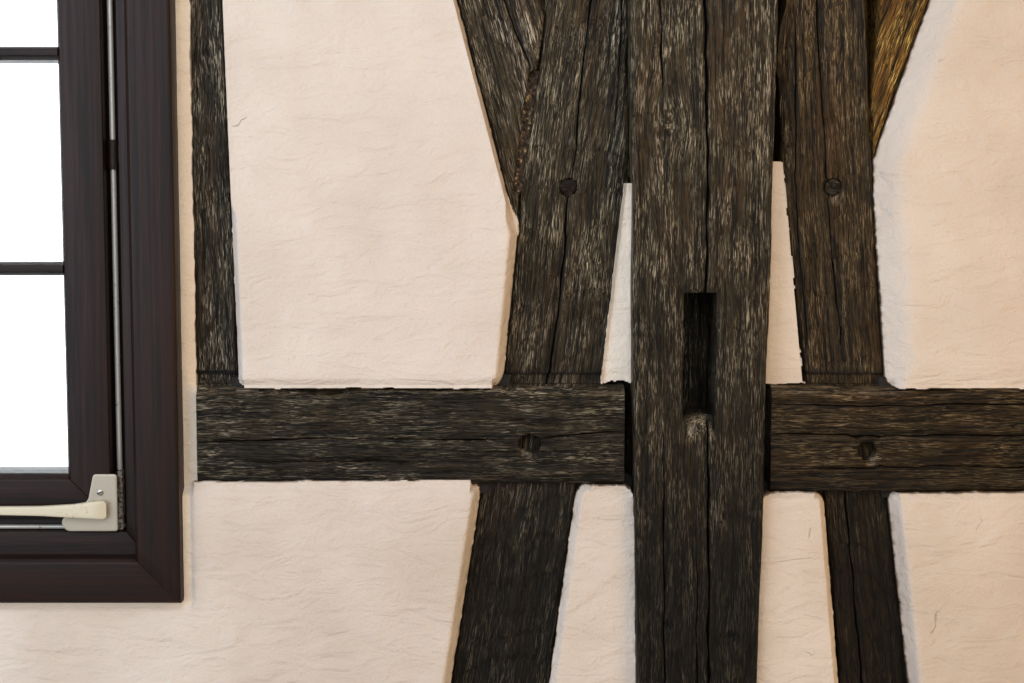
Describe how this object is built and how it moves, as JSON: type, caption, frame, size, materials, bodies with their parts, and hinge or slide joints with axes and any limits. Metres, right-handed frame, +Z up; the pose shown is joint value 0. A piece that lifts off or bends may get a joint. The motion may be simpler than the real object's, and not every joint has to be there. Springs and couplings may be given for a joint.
{
  "type": "half-timbered wall section with window",
  "caption": "Storey-high section of an old half-timbered wall: hewn oak frame with braces, plastered infill and a multi-pane wooden window.",
  "frame": {"origin": "middle of the sill plate's underside, halfway along the wall and through its thickness", "axes": "+X along the wall to the right as seen from the room, +Y through the wall from the room to the outside, +Z up"},
  "size_m": [2.398, 0.213, 2.16],
  "materials": {
    "oak": "old hewn oak, dark and weathered",
    "dark_oak": "old hewn oak, almost black",
    "honey_oak": "worn oak with golden streaks",
    "lime_plaster": "smoothed lime plaster, cream",
    "brick_mortar": "rough reddish brown mortar",
    "stained_wood": "dark stained softwood, satin",
    "window_glass": "clear window glass",
    "zinc": "silver painted steel, dull",
    "pale_paint": "cream painted lever",
    "dark_metal": "dark painted steel"
  },
  "bodies": {
    "root": {"sill_plate": "dark_oak", "top_plate": "dark_oak", "centre_post": "oak", "left_end_post": "oak", "right_end_post": "oak", "window_stud": "oak", "left_rail": "oak", "right_rail": "oak", "left_long_brace": "oak", "right_long_brace": "oak", "left_head_brace": "dark_oak", "right_head_brace": "honey_oak", "left_brace_peg": "dark_oak", "right_brace_peg": "dark_oak", "frame_pegs": "dark_oak", "left_upper_infill": "lime_plaster", "right_upper_infill": "lime_plaster", "left_upper_wedge": "lime_plaster", "right_upper_wedge": "lime_plaster", "left_head_infill": "lime_plaster", "right_head_infill": "lime_plaster", "left_lower_infill": "lime_plaster", "right_lower_infill": "lime_plaster", "left_lower_wedge": "lime_plaster", "right_lower_wedge": "lime_plaster", "joint_filler": "brick_mortar", "reveal_plaster": "lime_plaster", "casing_left": "stained_wood", "casing_right": "stained_wood", "casing_head": "stained_wood", "casing_foot": "stained_wood", "window_frame": "stained_wood", "window_sash": "stained_wood", "glazing_bars": "stained_wood", "window_panes": "window_glass", "outer_window_board": "stained_wood", "corner_gear_plate": "zinc", "gear_lever": "pale_paint", "upright_rod": "zinc", "lower_rod": "zinc", "rod_guides": "dark_metal", "rod_link": "zinc", "sash_hinges": "zinc"}
  },
  "joints": []
}
